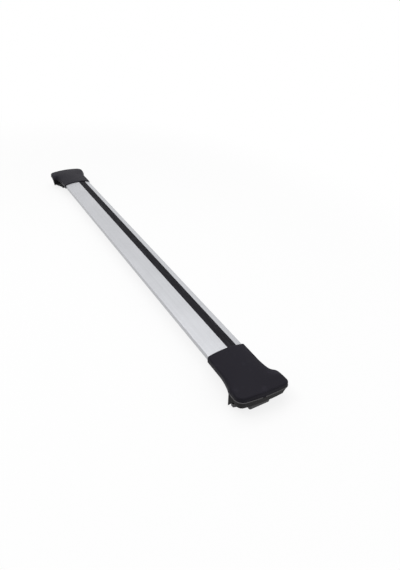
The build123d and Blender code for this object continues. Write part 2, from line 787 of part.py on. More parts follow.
# The bar is not alike on its two sides, so its plugs are a mirrored pair
right_bar_end_plug = bar_end_plug.part
right_bar_end_plug.label = "right_bar_end_plug"
export_step(right_bar_end_plug, "parts/right_bar_end_plug.step")
left_bar_end_plug = bar_end_plug.part.mirror(Plane.YZ)
left_bar_end_plug.label = "left_bar_end_plug"
export_step(left_bar_end_plug, "parts/left_bar_end_plug.step")

foot_pieces = {
    "foot_cover": foot_cover,
    "foot_base": foot_base,
    "saddle_pad": saddle_pad,
    "claw_pad": claw_pad,
    "moving_jaw": moving_jaw,
    "jaw_pad": jaw_pad,
    "clamp_bolt": clamp_bolt,
    "bolt_washer": bolt_washer,
    "bolt_clip": bolt_clip,
    "clamp_nut": clamp_nut,
    "bar_clamp_plate": bar_clamp_plate,
    "bar_screws": bar_screws,
}
for end, turn in (("right", 0), ("left", 180)):
    for piece_name, piece in foot_pieces.items():
        placed = piece.part.rotate(Axis.Z, turn)
        placed.label = end + "_" + piece_name
        export_step(placed, "parts/" + placed.label + ".step")
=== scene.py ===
"""Looks of a roof rack crossbar: satin bar, rubber strip, moulded feet and zinc-plated clamp parts.

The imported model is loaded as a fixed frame. Each operator finishes one group of its pieces, and the last
one sets the stage. Lengths are in metres.
"""
import math

import bmesh
import bpy
import numpy as np
from bpy.props import FloatProperty, FloatVectorProperty, PointerProperty
from mathutils import Matrix, Vector


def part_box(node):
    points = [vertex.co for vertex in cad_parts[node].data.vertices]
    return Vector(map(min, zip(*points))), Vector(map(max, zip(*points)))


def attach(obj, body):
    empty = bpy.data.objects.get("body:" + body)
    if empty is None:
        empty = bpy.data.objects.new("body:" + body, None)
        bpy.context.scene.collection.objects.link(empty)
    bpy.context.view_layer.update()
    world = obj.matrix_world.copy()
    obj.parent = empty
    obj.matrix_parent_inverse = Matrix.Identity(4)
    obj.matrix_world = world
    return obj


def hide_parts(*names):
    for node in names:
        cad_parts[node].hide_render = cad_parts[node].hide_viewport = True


bl_info = {
    "name": "Roof Rack Crossbar Finish",
    "version": (1, 0, 0),
    "blender": (4, 5, 0),
    "location": "View3D > Sidebar > Crossbar",
    "description": "Finishes a clamp-on roof rack crossbar and sets a plain studio round it",
    "category": "Object",
}

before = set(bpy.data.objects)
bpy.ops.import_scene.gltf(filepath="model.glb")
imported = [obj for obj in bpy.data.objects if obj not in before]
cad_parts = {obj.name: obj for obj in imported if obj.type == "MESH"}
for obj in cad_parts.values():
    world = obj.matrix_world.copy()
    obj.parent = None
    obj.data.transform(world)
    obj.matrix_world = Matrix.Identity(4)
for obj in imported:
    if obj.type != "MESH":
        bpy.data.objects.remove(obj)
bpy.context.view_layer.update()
ENDS = {"right": 1.0, "left": -1.0}

# The bar under the covers
COVER_GAP = 0.0004  # between the bar and a cover
BAR_CROWN_RADIUS = 0.1454

# The two sides of a cover, as places in its pairs of sizes, and where each lies across the right foot
TIGHT = 0
EASY = 1
SIDE_SIGNS = (1, -1)

# Places on a cover along the bar, from the end of its shoulders
SKIRT_RISE = (-0.007, 0.002)  # the lower edge climbs between these
LIP_GROWTH = (-0.006, 0.010)  # the lip grows to its full width between these
WAIST_SPREAD = 0.022  # reach of the softer top edge, to both sides

# Rows of a cover's grid, as shares: reach and climb up the lip, then climb up the wall
LIP_PROFILE = ((1.0, 0.0), (1.0, 0.6), (0.7, 0.88), (0.0, 1.0))
WALL_CLIMBS = (0.1, 0.4, 0.7)

# Fineness of a cover's grid, in points
ARC_STEPS = 33
BOW_STEPS = 60
NECK_STEPS = 7
FLANK_STEPS = 110
OUTER_STEPS = 91
EDGE_STEPS = 9
TOP_STEPS = 25
STRAIGHT_SHARE = 0.8  # of the shorter bulge, as far as the rows go straight across
RIDGE_SHARE = 0.45  # of the ridge past that place, from which the other rows fan out

SHARP_ANGLE = math.radians(38.0)  # edges that turn by more than this aren't shaded smooth

# Finish of the metal and the moulded plastic
STREAK_SHARE = 0.6  # of the bar's tone, beside its mottle
SCUFF_LEVELS = (0.0005, 0.006)  # heights between which the scuffs of a jaw end
PLASTIC_SHINE = 0.035
LIP_PLAIN_SHARE = 0.125  # of the lip's height, below its painted highlight
LIP_FEATHER = 0.0003  # softness of the painted highlight, up the lip
LIP_RUN = 0.01  # length over which the painted highlight starts, along the bar

# Floor, camera and lamps
FLOOR_STEPS = 9
WHITE = (1.0, 1.0, 1.0)
PAPER_COLOUR = (0.95, 0.95, 0.95)
SHADOW_NARROWING = 0.4  # the zone with a shadow is longer along the bar than across it
SHADOW_FADE = (0.12, 0.9)  # squares of the distances between which the floor turns to white
SENSOR_WIDTH = 36.0  # millimetres
VIEW_REACH = 100.0

# Square lamps: the length of a side, where each hangs and where it is turned to
LAMPS = {
    "key": {"size": 2.4, "place": (-0.15, -0.45, 2.5), "target": (-0.1, 0.0, 0.0)},
    "fill": {"size": 1.2, "place": (1.6, 0.9, 0.9), "target": (0.45, 0.0, 0.03)},
    "side": {"size": 0.35, "place": (0.17, -0.99, 1.74), "target": (0.53, -0.04, 0.04)},
    "sheen": {"size": 0.4, "place": (-0.31, 0.69, 1.70), "target": (0.57, -0.02, 0.04)},
}


class Wire:
    """One output of a shader tree. Sums, differences and products of wires and numbers add Math nodes."""

    def __init__(self, owner, socket):
        self.owner = owner
        self.socket = socket

    def math(self, operation, first, second):
        """A Math node's result for two values."""
        return self.owner.make("ShaderNodeMath", {"operation": operation}, {0: first, 1: second})

    def __add__(self, other):
        return self.math("ADD", self, other)

    def __radd__(self, other):
        return self.math("ADD", other, self)

    def __sub__(self, other):
        return self.math("SUBTRACT", self, other)

    def __rsub__(self, other):
        return self.math("SUBTRACT", other, self)

    def __mul__(self, other):
        return self.math("MULTIPLY", self, other)

    def __rmul__(self, other):
        return self.math("MULTIPLY", other, self)

    def most(self, other):
        """The larger of two values."""
        return self.math("MAXIMUM", self, other)

    def ramp(self, low, high):
        """0 below low, 1 above high and a smooth step between them."""
        return self.owner.make(
            "ShaderNodeMapRange",
            {"interpolation_type": "SMOOTHSTEP"},
            {"Value": self, "From Min": low, "From Max": high},
        )


class Tree:
    """A shader tree in the making."""

    def __init__(self, tree):
        self.tree = tree

    def join(self, socket, value):
        """Links a wire to a socket, or sets the socket's value. A colour gets an alpha of 1."""
        if isinstance(value, Wire):
            self.tree.links.new(value.socket, socket)
        elif isinstance(value, tuple) and socket.type == "RGBA" and len(value) == 3:
            socket.default_value = (*value, 1.0)
        else:
            socket.default_value = value

    def make(self, kind, settings=None, sockets=None, out=0):
        """A node of a kind, with its settings first and then its socket values or links."""
        node = self.tree.nodes.new(kind)
        for key, value in (settings or {}).items():
            setattr(node, key, value)
        for key, value in (sockets or {}).items():
            self.join(node.inputs[key], value)
        return Wire(self, node.outputs[out])

    def seen_directly(self):
        """1 for camera, glossy and transmission rays, and 0 for the rays that only carry light."""
        path = self.make("ShaderNodeLightPath").socket.node
        rays = ("Is Camera Ray", "Is Glossy Ray", "Is Transmission Ray")
        camera, glossy, through = [Wire(self, path.outputs[ray]) for ray in rays]
        return camera.most(glossy).most(through)


class Paint(Tree):
    """A material in the making: its node tree and its Principled shader."""

    def __init__(self, name, **constants):
        self.material = bpy.data.materials.new(name)
        self.material.use_nodes = True
        super().__init__(self.material.node_tree)
        self.shader = self.tree.nodes["Principled BSDF"]
        for socket, value in constants.items():
            self.shader.inputs[socket.replace("_", " ")].default_value = value

    def place(self):
        """Where a point lies on the piece."""
        return self.make("ShaderNodeTexCoord", out="Object")

    def axes(self):
        """The X, Y and Z of a point on the piece, as three wires."""
        parts = self.make("ShaderNodeSeparateXYZ", sockets={"Vector": self.place()}).socket.node
        return [Wire(self, socket) for socket in parts.outputs]

    def noise(self, per_metre, detail=2.0, roughness=0.5):
        """Noise with its own number of bumps per metre along each axis."""
        spread = self.make("ShaderNodeMapping", sockets={"Vector": self.place(), "Scale": per_metre})
        return self.make(
            "ShaderNodeTexNoise",
            sockets={"Vector": spread, "Scale": 1.0, "Detail": detail, "Roughness": roughness},
        )

    def blend(self, factor, first, second):
        """A colour between two colours."""
        return self.make(
            "ShaderNodeMix",
            {"data_type": "RGBA", "clamp_factor": True},
            {0: factor, 6: first, 7: second},
            out=2,
        )

    def tones(self, share, colour, darkest, palest):
        """A colour that is scaled by one factor where the share is 0 and by another where it is 1."""
        return self.blend(share, shade(colour, darkest), shade(colour, palest))

    def bump(self, height, depth, strength):
        """Relief of a height from 0 to 1, which is as deep as depth at full strength."""
        return self.make(
            "ShaderNodeBump",
            sockets={"Height": height, "Distance": depth, "Strength": strength},
        )

    def finish(self, **links):
        """Links wires to the shader's sockets, and returns the material."""
        for socket, wire in links.items():
            self.join(self.shader.inputs[socket.replace("_", " ")], wire)
        return self.material


def shade(colour, factor):
    """A colour made darker or lighter by a factor."""
    return tuple(min(1.0, channel * factor) for channel in colour)


def dress(node, material):
    """Gives a node of the frame its material."""
    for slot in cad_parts[node].material_slots:
        slot.material = material


def both_ends(*names):
    """The node names of a piece at the right and the left foot."""
    return [end + "_" + name for end in ENDS for name in names]


class BarFinish(bpy.types.PropertyGroup):
    """Finish of the aluminium bar and its rubber strip."""

    metal_colour: FloatVectorProperty(
        name="Metal colour",
        description="Colour of the anodised bar",
        subtype="COLOR",
        size=3,
        min=0.0,
        max=1.0,
        default=(0.520, 0.527, 0.550),
    )
    streak_width: FloatProperty(
        name="Streak width",
        description="Width of the drawing streaks that run along the bar",
        unit="LENGTH",
        default=0.0011,
    )
    streak_length: FloatProperty(
        name="Streak length",
        description="Length of the drawing streaks",
        unit="LENGTH",
        default=0.35,
    )
    strip_colour: FloatVectorProperty(
        name="Strip colour",
        description="Colour of the rubber strip",
        subtype="COLOR",
        size=3,
        min=0.0,
        max=1.0,
        default=(0.0168, 0.0163, 0.0196),
    )


class FootFinish(bpy.types.PropertyGroup):
    """Finish of the moulded feet and their clamp parts."""

    cover_colour: FloatVectorProperty(
        name="Cover colour",
        description="Colour of the moulded covers",
        subtype="COLOR",
        size=3,
        min=0.0,
        max=1.0,
        default=(0.0200, 0.0187, 0.0250),
    )
    base_colour: FloatVectorProperty(
        name="Base colour",
        description="Colour of the moulded bases",
        subtype="COLOR",
        size=3,
        min=0.0,
        max=1.0,
        default=(0.0130, 0.0123, 0.0128),
    )
    # painted highlight: a pale grey painted on the lip round a cover's outer end, where light catches its
    # edge
    lip_highlight_colour: FloatVectorProperty(
        name="Lip colour",
        description="Colour of the rubbed lip round a cover's outer end",
        subtype="COLOR",
        size=3,
        min=0.0,
        max=1.0,
        default=(0.135, 0.131, 0.133),
    )
    cover_roughness: FloatProperty(
        name="Cover roughness",
        description="Roughness of the glossiest places of the covers",
        subtype="FACTOR",
        min=0.0,
        max=1.0,
        default=0.33,
    )
    base_roughness: FloatProperty(
        name="Base roughness",
        description="Roughness of the glossiest places of the bases",
        subtype="FACTOR",
        min=0.0,
        max=1.0,
        default=0.46,
    )
    grain: FloatProperty(
        name="Grain",
        description="Size of the moulded grain",
        unit="LENGTH",
        default=0.0009,
    )
    jaw_colour: FloatVectorProperty(
        name="Jaw colour",
        description="Colour of the coated jaws",
        subtype="COLOR",
        size=3,
        min=0.0,
        max=1.0,
        default=(0.008, 0.008, 0.0085),
    )
    rubber_colour: FloatVectorProperty(
        name="Rubber colour",
        description="Colour of the pads that touch the rail",
        subtype="COLOR",
        size=3,
        min=0.0,
        max=1.0,
        default=(0.014, 0.014, 0.0142),
    )
    zinc_colour: FloatVectorProperty(
        name="Zinc colour",
        description="Colour of the zinc-plated screws, nuts and plates",
        subtype="COLOR",
        size=3,
        min=0.0,
        max=1.0,
        default=(0.60, 0.61, 0.62),
    )


class CoverForm(bpy.types.PropertyGroup):
    """Form of the moulded covers. Each pair of sizes is for the tight and the easy side of a foot."""

    neck_length: FloatProperty(
        name="Neck length",
        description="Straight stretch over the bar",
        unit="LENGTH",
        default=0.045,
    )
    neck_round: FloatProperty(
        name="Neck round",
        description="Radius of the edge that meets the bar",
        unit="LENGTH",
        default=0.002,
    )
    flare_angle: FloatProperty(
        name="Flare angle",
        description="Angle that the flare behind the neck turns outwards by",
        subtype="ANGLE",
        default=math.radians(16.0),
    )
    shoulder_end: FloatProperty(
        name="Shoulder end",
        description="Where the shoulders end and the bulges start, from the neck",
        unit="LENGTH",
        default=0.083,
    )
    shoulder_angle: FloatVectorProperty(
        name="Shoulder angles",
        description="Angle that each shoulder ends at",
        unit="ROTATION",
        size=2,
        default=(math.radians(60.0), math.radians(24.0)),
    )
    shoulder_length: FloatVectorProperty(
        name="Shoulder lengths",
        description="Length of each shoulder along the bar",
        unit="LENGTH",
        size=2,
        default=(0.007, 0.005),
    )
    bulge_length: FloatVectorProperty(
        name="Bulge lengths",
        description="Length of each bulge along the bar",
        unit="LENGTH",
        size=2,
        default=(0.010, 0.010),
    )
    setback: FloatVectorProperty(
        name="Setbacks",
        description="How far each outer corner lies behind the outer end",
        unit="LENGTH",
        size=2,
        default=(0.0017, 0.0070),
    )
    corner_radius: FloatVectorProperty(
        name="Corner radii",
        description="Radius of each outer corner, seen from above",
        unit="LENGTH",
        size=2,
        default=(0.0110, 0.0175),
    )
    end_crown: FloatProperty(
        name="End crown",
        description="Share of the bar's crown that is left at the outer end",
        subtype="FACTOR",
        min=0.0,
        max=1.0,
        default=0.36,
    )
    crown_fade: FloatProperty(
        name="Crown fade",
        description="Share of the way from the neck to the outer end over which the crown flattens",
        subtype="FACTOR",
        min=0.0,
        max=1.0,
        default=0.75,
    )
    end_fall: FloatProperty(
        name="End fall",
        description="Fall of the ridge towards the outer end",
        unit="LENGTH",
        default=0.0018,
    )
    edge_radius: FloatProperty(
        name="Edge radius",
        description="Radius of the edge round the top",
        unit="LENGTH",
        default=0.003,
    )
    waist_round: FloatProperty(
        name="Waist round",
        description="Radius that the top edge gains at the waist",
        unit="LENGTH",
        default=0.0045,
    )
    wall: FloatProperty(
        name="Wall",
        description="Thickness of the moulding",
        unit="LENGTH",
        default=0.0023,
    )
    skirt_level: FloatProperty(
        name="Skirt level",
        description="Height of the lower edge along the neck",
        unit="LENGTH",
        default=0.030,
    )
    parting_level: FloatProperty(
        name="Parting level",
        description="Height of the lower edge round the outer end",
        unit="LENGTH",
        default=0.033,
    )
    lip: FloatProperty(
        name="Lip",
        description="How far the lip on the lower edge stands out",
        unit="LENGTH",
        default=0.0007,
    )
    lip_height: FloatProperty(
        name="Lip height",
        description="Height of the lip on the lower edge",
        unit="LENGTH",
        default=0.0016,
    )
    notch_width: FloatProperty(
        name="Notch width",
        description="Width of the notch for prising the cover off",
        unit="LENGTH",
        default=0.006,
    )
    hook_place: FloatVectorProperty(
        name="Hook place",
        description="Inner low corner of a catch hook: outwards from the neck, across and up",
        subtype="XYZ_LENGTH",
        unit="LENGTH",
        size=3,
        default=(0.1070, 0.0240, 0.0247),
    )
    hook_size: FloatVectorProperty(
        name="Hook size",
        description="Length and thickness of a catch hook, and height of its barb",
        subtype="XYZ_LENGTH",
        unit="LENGTH",
        size=3,
        default=(0.0070, 0.0025, 0.0025),
    )
    hook_barb: FloatProperty(
        name="Hook barb",
        description="How far the barb of a catch hook stands out",
        unit="LENGTH",
        default=0.0015,
    )


class StageSettings(bpy.types.PropertyGroup):
    """Camera, floor and lamps."""

    camera_place: FloatVectorProperty(
        name="Camera place",
        description="Where the camera stands",
        subtype="TRANSLATION",
        unit="LENGTH",
        size=3,
        default=(1.0357, -0.3857, 0.6551),
    )
    camera_heading: FloatProperty(
        name="Camera heading",
        description="Direction that the camera looks in, from +X towards +Y",
        subtype="ANGLE",
        default=math.radians(150.37),
    )
    camera_dip: FloatProperty(
        name="Camera dip",
        description="How far the camera looks down",
        subtype="ANGLE",
        default=math.radians(34.0),
    )
    camera_roll: FloatProperty(
        name="Camera roll",
        description="Turn of the camera about its line of sight",
        subtype="ANGLE",
        default=math.radians(0.93),
    )
    lens: FloatProperty(
        name="Lens",
        description="Focal length of the camera",
        unit="CAMERA",
        default=30.63,
    )
    floor_reach: FloatProperty(
        name="Floor reach",
        description="How far the floor reaches from the middle",
        unit="LENGTH",
        default=40.0,
    )
    floor_white: FloatProperty(
        name="Floor white",
        description="Share of plain white in the floor beside the bar",
        subtype="FACTOR",
        min=0.0,
        max=1.0,
        default=0.82,
    )
    floor_bounce: FloatProperty(
        name="Floor bounce",
        description="How much of the light that falls on the floor is thrown back on the bar",
        subtype="FACTOR",
        min=0.0,
        max=1.0,
        default=0.5,
    )
    ambient: FloatProperty(
        name="Ambient light",
        description="Strength of the light from all round",
        default=0.42,
    )
    key_power: FloatProperty(
        name="Key power",
        description="Power of the large lamp overhead",
        unit="POWER",
        default=34.0,
    )
    fill_power: FloatProperty(
        name="Fill power",
        description="Power of the low lamp on the camera's right",
        unit="POWER",
        default=5.0,
    )
    side_power: FloatProperty(
        name="Side power",
        description="Power of the small lamp high on the camera's left",
        unit="POWER",
        default=4.0,
    )
    sheen_power: FloatProperty(
        name="Sheen power",
        description="Power of the small lamp behind the bar, which shows in the near cover's end",
        unit="POWER",
        default=2.0,
    )


def anodised_metal(finish):
    """Satin anodised aluminium: fine streaks along the bar, in roughness and relief, and a soft mottle."""
    paint = Paint("anodised_metal", Metallic=0.55)
    colour = tuple(finish.metal_colour)
    across = 1.0 / finish.streak_width
    along = 1.0 / finish.streak_length
    streaks = paint.noise((along, across, across), detail=4.0, roughness=0.6)
    mottle = paint.noise((9.0, 14.0, 14.0), detail=3.0)
    tone = STREAK_SHARE * streaks + (1.0 - STREAK_SHARE) * mottle
    return paint.finish(
        Base_Color=paint.tones(tone.ramp(0.3, 0.7), colour, darkest=0.93, palest=1.06),
        Roughness=0.36 + 0.14 * tone,
        Normal=paint.bump(streaks, depth=0.00006, strength=0.35),
    )


def strip_rubber(finish):
    """Ribbed rubber: near-black, a little dusty, with a fine dull grain."""
    paint = Paint("strip_rubber", Specular_IOR_Level=0.08)
    colour = tuple(finish.strip_colour)
    dust = paint.noise((30.0, 160.0, 160.0), detail=5.0, roughness=0.65)
    grain = paint.noise((2600.0, 2600.0, 2600.0), detail=1.0)
    return paint.finish(
        Base_Color=paint.tones(dust.ramp(0.4, 0.75), colour, darkest=0.8, palest=1.7),
        Roughness=0.62 + 0.16 * dust,
        Normal=paint.bump(grain, depth=0.00008, strength=0.4),
    )


def moulded_grain(paint, colour, grain_size, roughness):
    """Looks of moulded plastic: a fine pebbled grain, a faint mottle of gloss and some rubbed places."""
    pitch = 1.0 / grain_size
    grain = paint.noise((pitch, pitch, pitch), detail=2.0, roughness=0.55)
    mottle = paint.noise((28.0, 28.0, 28.0), detail=4.0, roughness=0.6)
    return {
        "Base_Color": paint.tones(mottle.ramp(0.52, 0.72), colour, darkest=0.9, palest=1.35),
        "Roughness": roughness + 0.10 * mottle + 0.05 * grain,
        "Normal": paint.bump(grain, depth=0.00009, strength=0.35),
    }


def lip_highlight_mask(paint, form):
    """1 on the part of the lip round a cover's outer end that carries a painted highlight, and 0 elsewhere.
    """
    x, _, height = paint.axes()
    low = form.parting_level + LIP_PLAIN_SHARE * form.lip_height
    high = form.parting_level + form.lip_height
    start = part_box("right_foot_cover")[0].x + form.shoulder_end
    level = height.ramp(low, low + LIP_FEATHER) * (1.0 - height.ramp(high, high + LIP_FEATHER))
    return level * (x * x).ramp(start**2, (start + LIP_RUN) ** 2)


def cover_plastic(foot, form):
    """Plastic of the covers, with a pale line painted along the lip as a highlight."""
    paint = Paint("cover_plastic", Specular_IOR_Level=PLASTIC_SHINE)
    looks = moulded_grain(paint, tuple(foot.cover_colour), foot.grain, foot.cover_roughness)
    # painted highlight: the lip's band is painted pale grey as a highlight line
    looks["Base_Color"] = paint.blend(lip_highlight_mask(paint, form), looks["Base_Color"], tuple(foot.lip_highlight_colour))
    return paint.finish(**looks)


def base_plastic(foot):
    """Plastic of the bases and of the bar's end plugs."""
    paint = Paint("base_plastic", Specular_IOR_Level=PLASTIC_SHINE)
    return paint.finish(**moulded_grain(paint, tuple(foot.base_colour), foot.grain, foot.base_roughness))


def pad_rubber(finish):
    """Soft rubber of the pads: dull, with a fine grain and a little dust."""
    paint = Paint("pad_rubber", Specular_IOR_Level=0.3)
    colour = tuple(finish.rubber_colour)
    dust = paint.noise((70.0, 70.0, 70.0), detail=4.0)
    grain = paint.noise((1800.0, 1800.0, 1800.0), detail=2.0)
    return paint.finish(
        Base_Color=paint.tones(dust.ramp(0.4, 0.8), colour, darkest=1.0, palest=1.8),
        Roughness=0.72 + 0.12 * dust,
        Normal=paint.bump(grain, depth=0.00008, strength=0.5),
    )


def coated_metal(finish):
    """Powder coat on the jaws: black with an orange-peel relief, rubbed a little on its low lip."""
    paint = Paint("coated_metal")
    colour = tuple(finish.jaw_colour)
    peel = paint.noise((700.0, 700.0, 700.0), detail=2.0)
    scuff = paint.noise((160.0, 420.0, 160.0), detail=5.0, roughness=0.7)
    _, _, height = paint.axes()
    rubbed = scuff.ramp(0.55, 0.75) * (1.0 - height.ramp(*SCUFF_LEVELS))
    return paint.finish(
        Base_Color=paint.tones(rubbed, colour, darkest=1.0, palest=5.0),
        Roughness=0.40 + 0.14 * peel,
        Normal=paint.bump(peel, depth=0.00007, strength=0.5),
    )


def zinc_plate(finish):
    """Bright zinc plate on the screws, nuts and plates: a cool sheen with fine scratches."""
    paint = Paint("zinc_plate", Metallic=1.0)
    colour = tuple(finish.zinc_colour)
    bloom = paint.noise((240.0, 240.0, 240.0), detail=3.0)
    scratches = paint.noise((300.0, 4000.0, 4000.0), detail=2.0)
    return paint.finish(
        Base_Color=paint.tones(bloom.ramp(0.35, 0.7), colour, darkest=0.82, palest=1.08),
        Roughness=0.26 + 0.18 * bloom,
        Normal=paint.bump(scratches, depth=0.00004, strength=0.3),
    )


def share(values, low, high):
    """0 below low, 1 above high and a straight rise between them."""
    return np.clip((values - low) / (high - low), 0.0, 1.0)


def smooth(values, low, high):
    """0 below low, 1 above high and a smooth step between them: share^2 * (3 - 2 * share)."""
    risen = share(values, low, high)
    return risen * risen * (3.0 - 2.0 * risen)


def round_drop(distance, radius):
    """How far a quarter round lies below its flat: radius - sqrt(radius^2 - short^2), where short is the
    part of the radius that the distance from the edge leaves."""
    short = radius - np.clip(distance, 0.0, radius)
    return radius - np.sqrt(radius**2 - short**2)


def arc(start, first, last, advance):
    """A circular arc in plan. Its heading turns evenly from first to last, and it goes an advance outwards:
    outwards is radius * (sin heading - sin first), and across is radius * (cos first - cos heading)."""
    heading = np.linspace(first, last, ARC_STEPS)
    radius = advance / (math.sin(last) - math.sin(first))
    outwards = start[0] + radius * (np.sin(heading) - math.sin(first))
    across = start[1] + radius * (math.cos(first) - np.cos(heading))
    return np.stack([outwards, across], axis=-1)


class CoverSurface:
    """Outer surface of one foot cover, in the foot's own frame: outwards from the neck, across and up."""

    def __init__(self, form, node):
        low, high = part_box(node)
        bar_low, bar_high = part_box("bar_profile")
        self.form = form
        self.neck = min(abs(low.x), abs(high.x))
        self.length = max(abs(low.x), abs(high.x)) - self.neck - form.lip
        self.top = high.z
        self.half_neck = (bar_high.y - bar_low.y) / 2 + form.wall + COVER_GAP
        self.crown_radius = BAR_CROWN_RADIUS + self.top - bar_high.z
        self.flanks = [self.flank(side) for side in (TIGHT, EASY)]
        tight, easy = [flank[-1, 1] for flank in self.flanks]
        self.half_end = (tight + easy) / 2
        self.bow = (form.setback[TIGHT] + form.setback[EASY]) / (2 * self.half_end**2)
        self.slant = (form.setback[EASY] - form.setback[TIGHT]) / (2 * self.half_end)
        self.furthest = (tight - easy) / 2 + self.slant / (2 * self.bow)

    def crown(self, points):
        """Height of the top: the ridge, less the crown's drop of radius - sqrt(radius^2 - across^2), which
        fades to a share of itself towards the outer end."""
        form = self.form
        outwards, across = points[..., 0], points[..., 1]
        past_neck = share(outwards, form.neck_length, self.length)
        kept = 1.0 - (1.0 - form.end_crown) * smooth(past_neck, 0.0, form.crown_fade)
        drop = self.crown_radius - np.sqrt(self.crown_radius**2 - across**2)
        neck_drop = round_drop(outwards, form.neck_round)
        return self.top - form.end_fall * past_neck**2 - kept * drop - neck_drop

    def flank(self, side):
        """One side of the plan as far as its corner: a straight neck, then arcs for the flare, the shoulder
        and the bulge."""
        form = self.form
        angle = form.shoulder_angle[side]
        flare_length = form.shoulder_end - form.shoulder_length[side] - form.neck_length
        neck = np.array([(0.0, self.half_neck), (form.neck_length, self.half_neck)])
        flare = arc(neck[-1], 0.0, form.flare_angle, flare_length)
        shoulder = arc(flare[-1], form.flare_angle, angle, form.shoulder_length[side])
        bulge = arc(shoulder[-1], angle, 0.0, form.bulge_length[side])
        return np.concatenate([neck, flare[1:], shoulder[1:], bulge[1:]])

    def outer_end(self, across):
        """How far out the bowed end lies: length - bow * offset^2, offset being from its furthest point."""
        return self.length - self.bow * (across - self.furthest) ** 2

    def corner_and_end(self, side):
        """The rounded corner of one side and the outer end from there to the middle. What parts the corner
        from the bow fades with the square of the distance from the middle."""
        sign = SIDE_SIGNS[side]
        radius = self.form.corner_radius[side]
        width = self.flanks[side][-1, 1]
        turn = math.pi / 2 + math.atan(sign * self.slant - 2 * self.bow * self.half_end)
        start = (self.outer_end(sign * width) - radius * math.tan(turn / 2), width)
        corner = arc(start, 0.0, -turn, radius * math.sin(turn))
        across = np.linspace(corner[-1, 1], 0.0, BOW_STEPS)
        bowed = self.outer_end(sign * across)
        joined = bowed + (corner[-1, 0] - bowed[0]) * (across / across[0]) ** 2
        return np.concatenate([corner, np.stack([joined, across], axis=-1)[1:]])

    def outline(self, side, flank_places, end_shares):
        """One side of the plan from the neck to the middle of the outer end, at places along the flank and
        then at shares of the length that is left."""
        flank = self.flanks[side]
        path = np.concatenate([flank, self.corner_and_end(side)]) * (1.0, SIDE_SIGNS[side])
        lengths = np.concatenate([[0.0], np.cumsum(np.linalg.norm(np.diff(path, axis=0), axis=1))])
        on_flank = np.interp(flank_places, flank[:, 0], lengths[: len(flank)])
        on_end = on_flank[-1] + end_shares * (lengths[-1] - on_flank[-1])
        places = np.concatenate([on_flank, on_end])
        return np.stack([np.interp(places, lengths, path[:, axis]) for axis in (0, 1)], axis=-1)

    def rim(self, outline):
        """Height of the lower edge: it climbs from the skirt to the parting level at the shoulders, and the
        notch in the outer end lifts it by the lip's height."""
        form = self.form
        outwards, across = outline[:, 0], outline[:, 1]
        climb = share(outwards - form.shoulder_end, *SKIRT_RISE)
        notch = (np.abs(across) < form.notch_width / 2) * (outwards > self.length / 2)
        return form.skirt_level + (form.parting_level - form.skirt_level) * climb + form.lip_height * notch

    def half(self, side, ridge, flank_places, end_shares):
        """One half of the surface. Each row starts on the lower edge, climbs the lip, the wall and the
        rounded edge, and crosses the crown to its point on the ridge."""
        form = self.form
        outline = self.outline(side, flank_places, end_shares)
        travel = np.gradient(outline, axis=0)
        travel /= np.linalg.norm(travel, axis=1, keepdims=True)
        inwards = SIDE_SIGNS[side] * np.stack([travel[:, 1], -travel[:, 0]], axis=-1)
        outline = outline + inwards * round_drop(outline[:, 0], form.neck_round)[:, None]
        past_shoulder = outline[:, 0] - form.shoulder_end
        rim = self.rim(outline)
        lip = form.lip * smooth(past_shoulder, *LIP_GROWTH)
        radius = form.edge_radius + form.waist_round * np.exp(-((past_shoulder / WAIST_SPREAD) ** 2))
        rows = []
        for reach, climb in LIP_PROFILE:
            rows.append((outline - inwards * (lip * reach)[:, None], rim + form.lip_height * climb))
        wall_low = rim + form.lip_height
        wall_high = self.crown(outline) - radius
        for climb in WALL_CLIMBS:
            rows.append((outline, wall_low + (wall_high - wall_low) * climb))
        for angle in np.linspace(0.0, math.pi / 2, EDGE_STEPS):
            points = outline + inwards * (radius * (1.0 - math.cos(angle)))[:, None]
            rows.append((points, self.crown(points) - radius * (1.0 - math.sin(angle))))
        edge = outline + inwards * radius[:, None]
        for crossed in np.linspace(0.0, 1.0, TOP_STEPS)[1:]:
            points = edge + (ridge - edge) * crossed
            rows.append((points, self.crown(points)))
        return np.stack([np.column_stack(row) for row in rows], axis=1)

    def grid(self):
        """All points of the surface: rows run from the easy side's lower edge over the ridge to the tight
        side's. They go straight across as far as the bulges, and fan out round the outer end."""
        form = self.form
        flank_end = form.shoulder_end + STRAIGHT_SHARE * min(form.bulge_length)
        on_round = np.linspace(0.0, form.neck_round, NECK_STEPS)
        past_round = np.linspace(form.neck_round, flank_end, FLANK_STEPS)
        flank_places = np.concatenate([on_round, past_round[1:]])
        end_shares = np.linspace(0.0, 1.0, OUTER_STEPS)[1:]
        past_flank = flank_end + RIDGE_SHARE * (self.length - flank_end) * end_shares
        ridge_places = np.concatenate([flank_places, past_flank])
        ridge = np.stack([ridge_places, np.zeros_like(ridge_places)], axis=-1)
        tight, easy = [self.half(side, ridge, flank_places, end_shares) for side in (TIGHT, EASY)]
        return np.concatenate([easy, tight[:, -2::-1]], axis=1)

    def placed(self, points, end):
        """Points of the foot in the frame of the bar. The left foot is the right one turned half round."""
        outwards, across, height = np.moveaxis(points, -1, 0)
        return np.stack([end * (self.neck + outwards), end * across, height], axis=-1)


def grid_faces(index):
    """The four-sided faces of a grid of point numbers."""
    corners = [index[:-1, :-1], index[1:, :-1], index[1:, 1:], index[:-1, 1:]]
    return np.stack(corners, axis=-1).reshape(-1, 4)


def cover_mesh(surface, end):
    """Mesh of a cover at one end of the bar. The last row runs along the ridge's end on both sides, so its
    second half takes the points of its first, and its own are left out."""
    grid = surface.placed(surface.grid(), end)
    rows, columns, _ = grid.shape
    half = (columns + 1) // 2
    spare = columns - half
    index = np.arange(rows * columns).reshape(rows, columns)
    index[-1, half:] = index[-1, half - 2::-1]
    points = grid.reshape(-1, 3)[:-spare]
    mesh = bpy.data.meshes.new("cover")
    mesh.from_pydata(points.tolist(), [], grid_faces(index).tolist())
    return mesh


